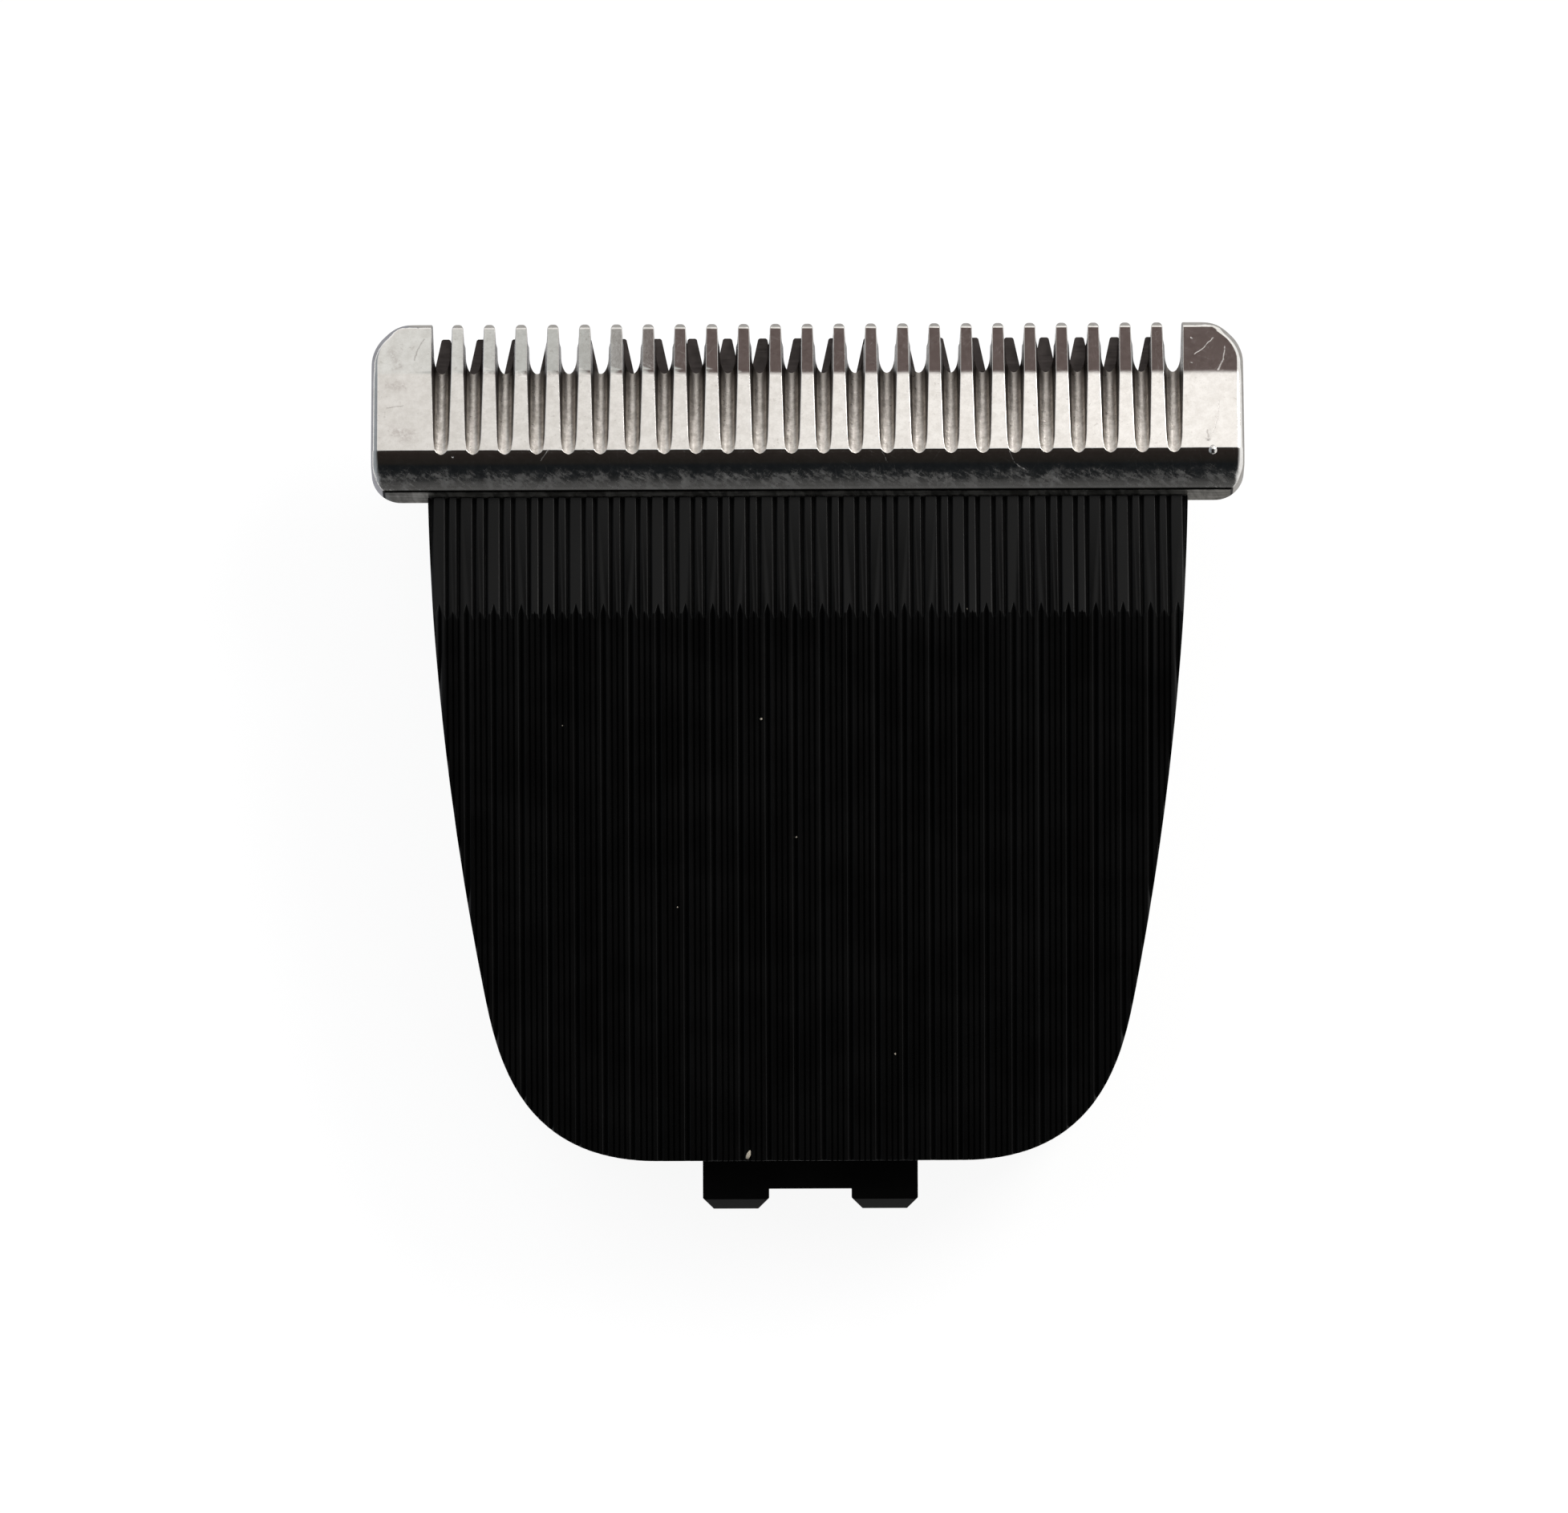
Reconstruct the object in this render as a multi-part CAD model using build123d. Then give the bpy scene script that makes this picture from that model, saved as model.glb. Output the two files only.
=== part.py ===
from build123d import *
import os
from math import atan2, cos, degrees, radians, sin, tan

os.makedirs("parts", exist_ok=True)

# Comb, the fixed blade: across the tooth row, along the teeth, and up from its back face
comb_width = 40.0
comb_depth = 8.41
comb_tilt = 15.0
comb_edge_thickness = 1.1
comb_edge_lean = 0.22
comb_seam_step = 0.05
comb_crest_thickness = 2.1
comb_crest_place = 1.92
comb_bevel_bulge = 0.14
comb_facet_thickness = 1.5
comb_facet_length = 2.67
comb_tip_thickness = 0.62
comb_tip_round = 0.5
comb_shoulder_radius = 2.1
comb_heel_radius = 1.35
comb_least_land = 2.5

# Row of comb teeth, left standing between sloping slots with round bottoms
tooth_pitch = 1.46
tooth_tip_width = 0.47
tooth_tip_corner = 0.15
tooth_tip_length = 0.95
tooth_tip_taper = 5.0
slot_length = 2.27
slot_slope = 24.8
slot_radius = 0.36
slot_draft = 5.5

# Cutter, the moving blade under the comb
cutter_tooth_pitch = 1.617
cutter_tooth_length = 2.22
cutter_setback = 0.59
cutter_tip_width = 0.4
cutter_tip_corner = 0.06
cutter_flank_angle = 12.0
cutter_head_depth = 0.7
cutter_thickness = 0.9
cutter_tip_thickness = 0.35
cutter_relief_offset = 0.3
cutter_hollow_depth = 0.1
cutter_land_rear = 0.85
cutter_land_front = 1.0
cutter_rest_offset = -0.43
cutter_stroke = 1.25
blade_gap = 0.02

# Guide frame that keeps the cutter square to the comb
guide_thickness = 1.9
guide_bar_rear = 0.05
guide_bar_depth = 1.05
guide_side_gap = 0.11
ear_margin = 0.075
tongue_width = 1.1
tongue_length = 2.95
notch_clearance = 0.05
stroke_clearance = 0.15
body_clearance = 0.2
bar_clearance = 0.15
head_gap = 0.7

# Driver on the back of the cutter, with a fork for a turning pin
driver_inset = 0.3
driver_thickness = 1.5
driver_corner = 0.7
peg_place = 5.0
peg_diameter = 1.6
peg_clearance = 0.03
peg_tip_gap = 0.1
fork_gap = 3.2
fork_wall = 1.5
fork_length = 3.8
fork_inset = 0.2
fork_roof = 0.1
fork_foot_round = 0.5
gusset_length = 1.2

# Screws
screw_diameter = 2.0
screw_engagement = 1.05
screw_end_gap = 0.1
screw_clearance = 0.1
thread_clearance = 0.02
screw_head_diameter = 3.6
screw_head_height = 1.2
screw_head_chamfer = 0.4
cross_length = 2.0
cross_width = 0.5
cross_depth = 0.6
boss_thickness = 2.2

# Spring of bent wire
wire_diameter = 0.9
spring_half = 6.2
spring_tip_inset = 0.3
spring_bend_radius = 2.0
spring_rear_place = 8.0
spring_seat_height = 0.82
spring_seat_half = 4.0
spring_seat_width = 1.2
rest_gap = 0.02

# Housing: lengths run from its rear edge towards the teeth, heights from its rim
skin_length = 30.24
facet_length = 5.12
facet_lip = 0.62
crease_height = 10.09
face_slope = 5.0
skin_thickness = 1.4
skin_gap = 0.05
wall_thickness = 1.2
front_half = 17.41
middle_inset = 0.74
middle_place = 19.3
foot_inset = 2.44
foot_place = 8.0
foot_lean = 11.0
foot_handle = 3.0
rear_half = 7.0
rear_handle = 6.5
cheek_rim_reach = 2.6
hook_place = 15.0
hook_length = 3.0
hook_wall = 1.2
hook_lip = 0.9
hook_side_gap = 0.1
lug_setback = 5.24
lug_length = 4.0
lug_height = 1.6
lug_depth = 0.5
lug_half_height = 0.6
rim_step_height = 1.3
rim_step_depth = 0.35
stiffener_place = 10.6
stiffener_width = 0.8
stiffener_height = 1.3
stiffener_rear = 3.0
stiffener_setback = 5.2

# Latch tab
tab_width = 9.9
tab_length = 2.28
tab_height = 3.2
tab_thickness = 1.6
tab_notch_width = 3.8
tab_notch_depth = 0.92
tab_corner = 0.5
tab_lead_in = 0.45

# Ribs of the housing's front: narrow and wide ones on the facet, one wide sort on the face
rib_pitch = 1.252
facet_groove_offset = 0.265
facet_groove_width = 0.23
facet_groove_depth = 0.15
face_groove_width = 0.28
face_groove_depth = 0.18
face_groove_rear_depth = 0.17
groove_overcut = 0.015
groove_runout = 1.25

# Frame of the blade set: its origin is on the middle of the comb's rear edge, its up is out of the comb
tilt = radians(comb_tilt)
comb_reach = comb_depth * cos(tilt) + comb_tip_thickness / 2 * sin(tilt)
overall_length = tab_length + skin_length + comb_reach
rear_y = tab_length - overall_length / 2
comb_edge_y = rear_y + skin_length
crease_y = comb_edge_y - facet_length
rear_face_height = crease_height - (crease_y - rear_y) * tan(radians(face_slope))
blade_height = crease_height - facet_length * tan(tilt) - facet_lip / cos(tilt)
blade_frame = Plane(
    origin=(0, comb_edge_y, blade_height),
    x_dir=(1, 0, 0),
    z_dir=(0, sin(tilt), cos(tilt)),
)

# Tooth counts that fill the comb between its lands
tooth_count = int((comb_width - comb_least_land * 2) / tooth_pitch)
cutter_tooth_count = int((comb_width - comb_least_land * 2) / cutter_tooth_pitch)

# Places across the blade set, from the side walls inwards
ear_width = screw_head_diameter + ear_margin * 2
guide_ear_outer = front_half - wall_thickness - guide_side_gap
guide_ear_inner = guide_ear_outer - ear_width
screw_place = guide_ear_outer - ear_width / 2
tongue_inner = guide_ear_inner - tongue_length
cutter_body_half = guide_ear_inner - cutter_stroke - body_clearance
driver_half = tongue_inner - cutter_stroke - stroke_clearance

# Places along the teeth, from the comb's rear edge and from its tips
guide_bar_front = guide_bar_rear + guide_bar_depth
cutter_rear_place = guide_bar_front + bar_clearance
skin_front = comb_edge_lean * facet_lip / comb_edge_thickness - skin_gap
cutter_tip_place = comb_depth - cutter_setback
cutter_root_place = cutter_tip_place - cutter_tooth_length
cutter_head_place = cutter_root_place - cutter_head_depth
cheek_reach = cutter_head_place - head_gap
tongue_place = (cutter_rear_place + cutter_head_place) / 2
driver_rear = cutter_rear_place + driver_inset
driver_front = cutter_head_place - driver_inset
driver_depth = driver_front - driver_rear

# Heights in the blade set, from the comb's back face downwards
cutter_top = -blade_gap
cutter_bottom = cutter_top - cutter_thickness
driver_bottom = cutter_bottom - driver_thickness
boss_bottom = -guide_thickness - boss_thickness
spring_axis = driver_bottom - rest_gap - wire_diameter / 2

# Overlap of what is joined into one solid, and a length past every face
embed = skin_thickness / 4
far = comb_width + overall_length


def row(count, pitch):
    """Places of a row of equal steps, centred on zero."""
    return [(i - (count - 1) / 2) * pitch for i in range(count)]


def blade_point(across, along, up):
    """Point of the blade frame, in the frame of the whole part."""
    return (
        across,
        comb_edge_y + along * cos(tilt) + up * sin(tilt),
        blade_height - along * sin(tilt) + up * cos(tilt),
    )


def side_point(along, up):
    """Place and height of a point of the blade frame."""
    return blade_point(0, along, up)[1:]


def skin_inside(place):
    """Height of the skin's inner face at a place along the housing."""
    return rear_face_height + place * tan(radians(face_slope)) - skin_thickness


def mirrored_x(shape):
    """Shape together with its mirror image across the middle plane."""
    return [shape, mirror(shape, about=Plane.YZ)]


def side_prism(points):
    """Prism across the whole width from points given as place and height."""
    return extrude(Plane.YZ * make_face(Polyline(*points, close=True)), far, both=True)


def comb_bar():
    """Bar of the comb before its teeth are cut: side profile and rounded outline."""
    heel = (comb_edge_lean, comb_edge_thickness)
    bevel_foot = (comb_edge_lean + comb_seam_step, comb_edge_thickness)
    crest = (comb_crest_place, comb_crest_thickness)
    facet = (comb_depth - comb_facet_length, comb_facet_thickness)
    tip = (comb_depth, comb_tip_thickness)
    under_tip = (comb_depth, 0)
    edge = Polyline((0, 0), heel, bevel_foot)
    bevel = SagittaArc(bevel_foot, crest, comb_bevel_bulge)
    front = Polyline(crest, facet, tip, under_tip, (0, 0))
    profile = make_face(edge + bevel + front)
    upper_tip = profile.vertices().group_by(Axis.X)[-1].sort_by(Axis.Y)[-1]
    profile = fillet(upper_tip, comb_tip_round)
    body = extrude(Plane.YZ * profile, comb_width / 2, both=True)
    outline = Pos(0, comb_depth / 2) * Rectangle(comb_width, comb_depth)
    outline = fillet(outline.vertices().group_by(Axis.Y)[-1], comb_shoulder_radius)
    outline = fillet(outline.vertices().group_by(Axis.Y)[0], comb_heel_radius)
    return body & extrude(outline, comb_crest_thickness + embed)


def comb_slots():
    """Row of sloping slots with round bottoms and drafted sides."""
    slope = radians(slot_slope)
    draft = radians(slot_draft)
    height = comb_crest_thickness + embed
    touch = (slot_radius * cos(draft), slot_radius * (1 - sin(draft)))
    top = (touch[0] + (height - touch[1]) * tan(draft), height)
    bottom = ThreePointArc((-touch[0], touch[1]), (0, 0), touch)
    sides = Polyline(touch, top, (-top[0], top[1]), (-touch[0], touch[1]))
    section = make_face(bottom + sides)
    sections = Sketch() + [Pos(x, 0) * section for x in row(tooth_count + 1, tooth_pitch)]
    slot_plane = Plane(
        origin=(0, comb_depth - slot_length, 0),
        x_dir=(-1, 0, 0),
        z_dir=(0, cos(slope), -sin(slope)),
    )
    return extrude(slot_plane * sections, comb_depth, both=True)


def comb_tip_trim():
    """What is cut from between the tooth tips, so that each tip tapers and ends with broken corners."""
    band = Pos(0, comb_depth) * Rectangle(tooth_count * tooth_pitch, tooth_tip_length * 2)
    base = comb_depth - tooth_tip_length
    base_half = tooth_tip_width / 2 + tooth_tip_length * tan(radians(tooth_tip_taper))
    tooth_end = make_face(
        Polyline(
            (-base_half, base),
            (base_half, base),
            (tooth_tip_width / 2, comb_depth),
            (-tooth_tip_width / 2, comb_depth),
            close=True,
        )
    )
    tooth_end = chamfer(tooth_end.vertices().group_by(Axis.Y)[-1], tooth_tip_corner)
    teeth = Sketch() + [Pos(x, 0) * tooth_end for x in row(tooth_count, tooth_pitch)]
    return extrude(band - teeth, comb_crest_thickness + embed, both=True)


def comb():
    """Ground steel comb, with two blind screw holes in its back."""
    bar = comb_bar() - comb_tip_trim() - comb_slots()
    hole = Cylinder(
        screw_diameter / 2 + thread_clearance,
        screw_engagement + screw_end_gap,
        align=(Align.CENTER, Align.CENTER, Align.MIN),
    )
    bar -= mirrored_x(Pos(screw_place, comb_crest_place, 0) * hole)
    return blade_frame.location * bar


def cutter_outline():
    """Plan of the cutter: body with two guide notches, head, and a row of tapering teeth."""
    root_half = cutter_tip_width / 2 + cutter_tooth_length * tan(radians(cutter_flank_angle))
    head_half = (cutter_tooth_count - 1) / 2 * cutter_tooth_pitch + root_half
    tooth = make_face(
        Polyline(
            (-root_half, cutter_root_place - embed),
            (root_half, cutter_root_place - embed),
            (root_half, cutter_root_place),
            (cutter_tip_width / 2, cutter_tip_place),
            (-cutter_tip_width / 2, cutter_tip_place),
            (-root_half, cutter_root_place),
            close=True,
        )
    )
    tooth = chamfer(tooth.vertices().group_by(Axis.Y)[-1], cutter_tip_corner)
    body_length = cutter_head_place - cutter_rear_place
    plan = Pos(0, cutter_head_place + cutter_head_depth / 2) * Rectangle(head_half * 2, cutter_head_depth)
    plan += Pos(0, cutter_rear_place + body_length / 2) * Rectangle(cutter_body_half * 2, body_length)
    plan += [Pos(x, 0) * tooth for x in row(cutter_tooth_count, cutter_tooth_pitch)]
    notch_end = tongue_inner - cutter_stroke - stroke_clearance
    notch_length = cutter_body_half - notch_end
    notch = Rectangle(notch_length * 2, tongue_width + notch_clearance * 2)
    plan -= mirrored_x(Pos(cutter_body_half, tongue_place) * notch)
    return plan


def cutter():
    """Moving blade: hollow-ground face, relieved teeth and two holes for the driver's pegs."""
    relief = cutter_top - cutter_tip_thickness
    hollow = cutter_top - cutter_hollow_depth
    hollow_rear = cutter_rear_place + cutter_land_rear
    hollow_front = cutter_root_place - cutter_land_front
    profile = make_face(
        Polyline(
            (cutter_rear_place, cutter_top),
            (hollow_rear, cutter_top),
            (hollow_rear + cutter_hollow_depth, hollow),
            (hollow_front - cutter_hollow_depth, hollow),
            (hollow_front, cutter_top),
            (cutter_tip_place, cutter_top),
            (cutter_tip_place, relief),
            (cutter_root_place + cutter_relief_offset, cutter_bottom),
            (cutter_rear_place, cutter_bottom),
            close=True,
        )
    )
    plate = extrude(Plane.YZ * profile, far, both=True)
    plate = plate & extrude(cutter_outline(), cutter_thickness + embed, both=True)
    hole = Cylinder(peg_diameter / 2 + peg_clearance, far)
    plate -= mirrored_x(Pos(peg_place, tongue_place, 0) * hole)
    return blade_frame.location * Pos(cutter_rest_offset, 0, 0) * plate


def driver_fork():
    """Fork under the driver's plate: two prongs with gussets, around a slot with a round roof."""
    fork_half = fork_gap / 2 + fork_wall
    fork_end = driver_bottom - fork_length
    prongs = Pos(0, driver_bottom - fork_length / 2) * Rectangle(fork_half * 2, fork_length)
    prongs = fillet(prongs.vertices().group_by(Axis.Y)[0], fork_foot_round)
    gusset = make_face(
        Polyline(
            (fork_half - fork_wall / 2, driver_bottom),
            (fork_half + gusset_length, driver_bottom),
            (fork_half, driver_bottom - gusset_length),
            (fork_half - fork_wall / 2, driver_bottom - gusset_length),
            close=True,
        )
    )
    prongs += mirrored_x(gusset)
    slot_round = driver_bottom - fork_roof - fork_gap / 2
    mouth_length = slot_round - fork_end + embed
    prongs -= Pos(0, slot_round) * Circle(fork_gap / 2)
    prongs -= Pos(0, slot_round - mouth_length / 2) * Rectangle(fork_gap, mouth_length)
    return extrude(Plane.XZ * prongs, driver_depth / 2 - fork_inset, both=True)


def driver():
    """Follower on the cutter: plate with two pegs, and a fork under it."""
    plate = extrude(RectangleRounded(driver_half * 2, driver_depth, driver_corner), driver_thickness)
    plate = Pos(0, tongue_place, driver_bottom) * plate
    peg_height = cutter_thickness - cutter_hollow_depth - peg_tip_gap
    peg = Cylinder(peg_diameter / 2, peg_height, align=(Align.CENTER, Align.CENTER, Align.MIN))
    plate += mirrored_x(Pos(peg_place, tongue_place, cutter_bottom) * peg)
    plate += Pos(0, tongue_place, 0) * driver_fork()
    return blade_frame.location * Pos(cutter_rest_offset, 0, 0) * plate


def guide():
    """C-shaped frame: bar behind the cutter, two screw ears, and a tongue into each cutter notch."""
    bar = Pos(0, guide_bar_rear + guide_bar_depth / 2) * Rectangle(guide_ear_outer * 2, guide_bar_depth)
    ear_depth = cheek_reach - guide_bar_rear
    ear = Pos(screw_place, guide_bar_rear + ear_depth / 2) * Rectangle(ear_width, ear_depth)
    hole = Pos(screw_place, comb_crest_place) * Circle(screw_diameter / 2 + screw_clearance)
    frame = extrude(bar + mirrored_x(ear) - mirrored_x(hole), -guide_thickness)
    tongue_thickness = cutter_thickness - blade_gap
    tongue = Box(tongue_length + embed, tongue_width, tongue_thickness)
    tongue_middle = tongue_inner + (tongue_length + embed) / 2
    tongue_height = cutter_bottom + tongue_thickness / 2
    frame += mirrored_x(Pos(tongue_middle, tongue_place, tongue_height) * tongue)
    return blade_frame.location * frame


def blade_screws():
    """Two screws with cross recesses, driven from the back into the comb."""
    shank_length = screw_engagement - boss_bottom
    shank = Cylinder(screw_diameter / 2, shank_length, align=(Align.CENTER, Align.CENTER, Align.MIN))
    head = Cylinder(
        screw_head_diameter / 2,
        screw_head_height,
        align=(Align.CENTER, Align.CENTER, Align.MAX),
    )
    head = chamfer(head.edges().group_by(Axis.Z)[0], screw_head_chamfer)
    bar = Box(cross_length, cross_width, cross_depth * 2)
    cross = Pos(0, 0, -screw_head_height) * (bar + Rot(0, 0, 90) * bar)
    screw = Pos(screw_place, comb_crest_place, boss_bottom) * (shank + head - cross)
    return Compound([blade_frame.location * solid for solid in mirrored_x(screw)])


def spring_bow_height():
    """Height of the wire's axis at the bow, under its seat."""
    return skin_inside(spring_rear_place) - spring_seat_height - rest_gap - wire_diameter / 2


def spring():
    """U of wire: its ends lie under the driver, its bow bears on the housing's seat."""
    right = [
        blade_point(spring_half, driver_front - spring_tip_inset, spring_axis),
        blade_point(spring_half, driver_rear, spring_axis),
        (spring_half, rear_y + spring_rear_place, spring_bow_height()),
    ]
    left = [(-x, y, z) for x, y, z in reversed(right)]
    path = FilletPolyline(*right, *left, radius=spring_bend_radius)
    section = Plane(path @ 0, z_dir=path % 0) * Circle(wire_diameter / 2)
    return sweep(section, path)


def housing_plan(inset, reach):
    """Plan of the housing, drawn in by a wall, with straight sides past the skin's end."""
    rear = rear_y + inset
    lean = radians(foot_lean)
    front_end = (front_half - inset, reach)
    front = (front_half - inset, comb_edge_y)
    middle = (front[0] - middle_inset, rear_y + middle_place)
    foot = (front[0] - foot_inset, rear_y + foot_place)
    foot_control = (foot[0] - foot_handle * sin(lean), foot[1] - foot_handle * cos(lean))
    rear_end = (rear_half, rear)
    rear_control = (rear_half + rear_handle - inset, rear)
    flank = ThreePointArc(front, middle, foot)
    corner = Bezier(foot, foot_control, rear_control, rear_end)
    right = Line(front_end, front) + flank + corner
    left = mirror(right, about=Plane.YZ)
    rear_edge = Line(rear_end, (-rear_end[0], rear))
    front_edge = Line(front_end, (-front_end[0], reach))
    return make_face(right + left + rear_edge + front_edge)


def housing_shell():
    """Outer form of the housing, hollowed from below and open towards the teeth."""
    reach = side_point(cheek_reach, 0)[0] + embed
    slope = tan(radians(face_slope))
    outer = extrude(housing_plan(0, reach), crease_height + embed)
    outer = outer & side_prism(
        [
            (rear_y - embed, 0),
            (rear_y - embed, rear_face_height - embed * slope),
            (crease_y, crease_height),
            side_point(skin_front, facet_lip),
            side_point(-skin_gap, 0),
            side_point(cheek_reach, 0),
            (comb_edge_y + cheek_rim_reach, 0),
        ]
    )
    drop = skin_thickness / cos(radians(face_slope))
    hollow = extrude(housing_plan(wall_thickness, reach + far), crease_height * 2, both=True)
    hollow = hollow & side_prism(
        [
            (rear_y, -embed),
            (rear_y, rear_face_height - drop),
            (crease_y, crease_height - drop),
            side_point(-skin_gap, facet_lip - skin_thickness),
            side_point(-skin_gap, 0),
            side_point(skin_front, facet_lip),
            side_point(comb_depth, facet_lip),
            (comb_edge_y + comb_depth, -embed),
        ]
    )
    rim_step = extrude(housing_plan(0, reach) - housing_plan(rim_step_depth, reach), rim_step_height)
    return outer - hollow - rim_step


def groove_tool(centres, width, depth, run_plane, length):
    """Plate with a row of V ridges, which cuts grooves into the face that it runs along."""
    half = width / 2 * (1 + groove_overcut / depth)
    edge = front_half + rib_pitch * 2
    points = [(-edge, groove_overcut)]
    for centre in centres:
        points += [(centre - half, groove_overcut), (centre, -depth), (centre + half, groove_overcut)]
    points += [(edge, groove_overcut), (edge, rib_pitch), (-edge, rib_pitch)]
    return extrude(run_plane * make_face(Polyline(*points, close=True)), length)


def cut_ribs(shell):
    """Cuts the facet's pairs of grooves, and the face's grooves, which grow shallower to the rear."""
    steps = int(front_half / rib_pitch) + 1
    narrow_ribs = row(steps * 2 + 1, rib_pitch)
    facet_run = Plane(
        origin=blade_point(0, comb_edge_lean, facet_lip),
        x_dir=(1, 0, 0),
        z_dir=(0, -cos(tilt), sin(tilt)),
    )
    pairs = []
    for x in narrow_ribs:
        pairs += [x - facet_groove_offset, x + facet_groove_offset]
    run_length = comb_edge_lean + facet_length / cos(tilt) + groove_runout
    shell -= groove_tool(pairs, facet_groove_width, facet_groove_depth, facet_run, run_length)
    face_length = crease_y - rear_y
    rise = degrees(atan2(face_groove_depth - face_groove_rear_depth, face_length))
    slope = radians(face_slope - rise)
    face_run = Plane(
        origin=(0, crease_y + groove_runout * cos(slope), crease_height + groove_runout * sin(slope)),
        x_dir=(1, 0, 0),
        z_dir=(0, -cos(slope), -sin(slope)),
    )
    between = row(steps * 2, rib_pitch)
    run_length = face_length / cos(slope) + groove_runout * 2
    return shell - groove_tool(between, face_groove_width, face_groove_depth, face_run, run_length)


def bosses():
    """Screw bosses inside the cheeks, under the guide's ears."""
    width = front_half - wall_thickness / 2 - guide_ear_inner
    boss = Box(width, cheek_reach, boss_thickness, align=(Align.MIN, Align.MIN, Align.MAX))
    boss = Pos(guide_ear_inner, 0, -guide_thickness) * boss
    hole = Cylinder(screw_diameter / 2 + screw_clearance, far)
    boss -= Pos(screw_place, comb_crest_place, 0) * hole
    return [blade_frame.location * solid for solid in mirrored_x(boss)]


def spring_hooks():
    """Two hooks that hold the spring's arms up."""
    bend_y, bend_z = side_point(driver_rear, spring_axis)
    bow_height = spring_bow_height()
    fall = (bow_height - bend_z) / (bend_y - rear_y - spring_rear_place)
    wire_low = bow_height - fall * (hook_place - spring_rear_place) - wire_diameter / 2
    lip_top = wire_low - rest_gap - fall * hook_length / 2
    top = skin_inside(hook_place) + embed
    outer = spring_half + wire_diameter / 2 + hook_side_gap + hook_wall
    inner = spring_half - wire_diameter / 2
    profile = make_face(
        Polyline(
            (inner, lip_top - hook_lip),
            (outer, lip_top - hook_lip),
            (outer, top),
            (outer - hook_wall, top),
            (outer - hook_wall, lip_top),
            (inner, lip_top),
            close=True,
        )
    )
    hook = extrude(Plane.XZ * profile, hook_length / 2, both=True)
    return mirrored_x(Pos(0, rear_y + hook_place, 0) * hook)


def spring_seat():
    """Rib under the skin that the spring's bow bears on."""
    seat = Box(
        spring_seat_half * 2,
        spring_seat_width,
        spring_seat_height + embed,
        align=(Align.CENTER, Align.CENTER, Align.MIN),
    )
    return Pos(0, rear_y + spring_rear_place, skin_inside(spring_rear_place) - spring_seat_height) * seat


def stiffeners():
    """Two straight ribs along the inside of the skin."""
    front = skin_length - stiffener_setback
    profile = make_face(
        Polyline(
            (rear_y + stiffener_rear, skin_inside(stiffener_rear) - stiffener_height),
            (rear_y + front, skin_inside(front) - stiffener_height),
            (rear_y + front, skin_inside(front) + embed),
            (rear_y + stiffener_rear, skin_inside(stiffener_rear) + embed),
            close=True,
        )
    )
    rib = Pos(stiffener_place, 0, 0) * extrude(Plane.YZ * profile, stiffener_width / 2, both=True)
    return mirrored_x(rib)


def lugs():
    """Snap lugs on the inner faces of the side walls."""
    wall = front_half - wall_thickness
    profile = make_face(
        Polyline(
            (wall + wall_thickness / 2, lug_height - lug_half_height),
            (wall, lug_height - lug_half_height),
            (wall - lug_depth, lug_height),
            (wall, lug_height + lug_half_height),
            (wall + wall_thickness / 2, lug_height + lug_half_height),
            close=True,
        )
    )
    lug = extrude(Plane.XZ * profile, lug_length / 2, both=True)
    return mirrored_x(Pos(0, comb_edge_y - lug_setback, 0) * lug)


def tab():
    """Latch tab with two feet and a lead-in along their ends."""
    end = rear_y - tab_length
    top = tab_height + tab_thickness
    depth = tab_length + wall_thickness / 2
    plan = Pos(0, end + depth / 2) * Rectangle(tab_width, depth)
    plan -= Pos(0, end) * Rectangle(tab_notch_width, tab_notch_depth * 2)
    plan = chamfer(plan.vertices().group_by(Axis.Y)[0], tab_corner)
    plate = Pos(0, 0, tab_height) * extrude(plan, tab_thickness)
    return plate - side_prism([(end, top), (end, top - tab_lead_in), (end + tab_lead_in, top)])


def housing():
    """Ribbed carrier with its bosses, spring hooks and seat, stiffeners, snap lugs and latch tab."""
    shell = cut_ribs(housing_shell())
    for piece in bosses() + spring_hooks() + [spring_seat()] + stiffeners() + lugs() + [tab()]:
        shell += piece
    return shell


export_step(housing(), "parts/housing.step")
export_step(comb(), "parts/comb.step")
export_step(cutter(), "parts/cutter.step")
export_step(driver(), "parts/driver.step")
export_step(guide(), "parts/guide.step")
export_step(spring(), "parts/spring.step")
export_step(blade_screws(), "parts/blade_screws.step")
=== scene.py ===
import bmesh
import bpy
import math
import random
from mathutils import Matrix, Vector
from mathutils.bvhtree import BVHTree


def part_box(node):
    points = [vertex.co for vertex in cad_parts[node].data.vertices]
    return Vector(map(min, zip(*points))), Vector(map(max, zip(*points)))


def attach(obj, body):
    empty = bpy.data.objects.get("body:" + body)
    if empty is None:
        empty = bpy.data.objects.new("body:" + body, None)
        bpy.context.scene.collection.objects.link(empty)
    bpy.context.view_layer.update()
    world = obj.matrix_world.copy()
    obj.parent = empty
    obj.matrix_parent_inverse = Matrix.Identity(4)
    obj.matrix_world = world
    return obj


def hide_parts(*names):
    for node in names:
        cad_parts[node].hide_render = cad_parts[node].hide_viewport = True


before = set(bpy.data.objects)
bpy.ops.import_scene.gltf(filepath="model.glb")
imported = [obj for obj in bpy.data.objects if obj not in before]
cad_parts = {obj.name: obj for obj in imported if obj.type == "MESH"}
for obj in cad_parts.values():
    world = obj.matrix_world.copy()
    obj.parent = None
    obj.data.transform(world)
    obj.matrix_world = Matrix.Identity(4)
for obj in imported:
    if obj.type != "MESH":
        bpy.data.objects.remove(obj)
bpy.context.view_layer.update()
scene = bpy.context.scene
scene.view_settings.view_transform = "Standard"

MM = 0.001

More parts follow.
